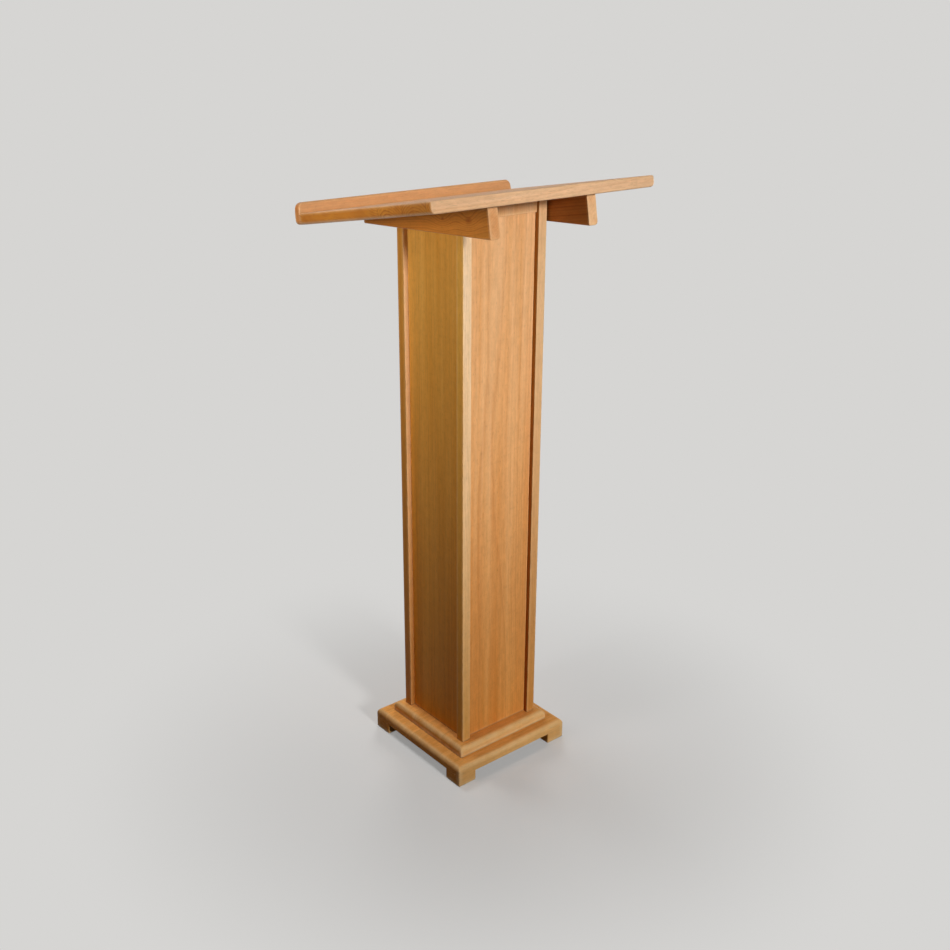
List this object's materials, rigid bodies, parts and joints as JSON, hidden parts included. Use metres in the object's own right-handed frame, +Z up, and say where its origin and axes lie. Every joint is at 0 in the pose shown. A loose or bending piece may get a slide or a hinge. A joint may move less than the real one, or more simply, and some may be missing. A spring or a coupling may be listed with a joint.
{
  "type": "lectern",
  "caption": "Free-standing wooden lectern: a sloping desk with a book stop on tapered bearers, a panelled square column and a stepped base on corner feet.",
  "frame": {"origin": "on the floor, at the centre of the whole lectern's plan", "axes": "+Z up; +Y towards the reader, down the slope of the desk; +X to the right of someone who faces the lectern's front"},
  "size_m": [0.52, 0.4201, 1.2102],
  "materials": {
    "base_wood": "satin lacquered hardwood, rounded edges",
    "post_wood": "satin lacquered hardwood, pale straight grain",
    "panel_wood": "satin lacquered hardwood, upright grain",
    "desk_wood": "satin lacquered hardwood, edge-glued staves",
    "bearer_wood": "satin lacquered hardwood, small knots",
    "inner_wood": "raw planed hardwood",
    "screw_steel": "zinc-plated wood screw"
  },
  "bodies": {
    "root": {"foot_front_left": "base_wood", "foot_front_right": "base_wood", "foot_back_left": "base_wood", "foot_back_right": "base_wood", "plinth_board": "base_wood", "base_board": "base_wood", "post_front_left": "post_wood", "post_front_right": "post_wood", "post_back_left": "post_wood", "post_back_right": "post_wood", "top_rail_front": "post_wood", "top_rail_back": "post_wood", "top_rail_left": "post_wood", "top_rail_right": "post_wood", "panel_front": "panel_wood", "panel_back": "panel_wood", "panel_left": "panel_wood", "panel_right": "panel_wood", "desk_cleat_left": "inner_wood", "desk_cleat_right": "inner_wood", "desk_board": "desk_wood", "book_stop": "desk_wood", "bearer_left": "bearer_wood", "bearer_right": "bearer_wood", "stop_dowel_left": "inner_wood", "stop_dowel_middle": "inner_wood", "stop_dowel_right": "inner_wood", "foot_screw_front_left": "screw_steel", "foot_screw_front_right": "screw_steel", "foot_screw_back_left": "screw_steel", "foot_screw_back_right": "screw_steel", "base_screw_front_left": "screw_steel", "base_screw_front_right": "screw_steel", "base_screw_back_left": "screw_steel", "base_screw_back_right": "screw_steel", "post_screw_front_left": "screw_steel", "post_screw_front_right": "screw_steel", "post_screw_back_left": "screw_steel", "post_screw_back_right": "screw_steel", "desk_screw_front_left": "screw_steel", "desk_screw_front_right": "screw_steel", "desk_screw_back_left": "screw_steel", "desk_screw_back_right": "screw_steel", "bearer_screw_front_left": "screw_steel", "bearer_screw_front_right": "screw_steel", "bearer_screw_middle_left": "screw_steel", "bearer_screw_middle_right": "screw_steel", "bearer_screw_back_left": "screw_steel", "bearer_screw_back_right": "screw_steel"}
  },
  "joints": []
}
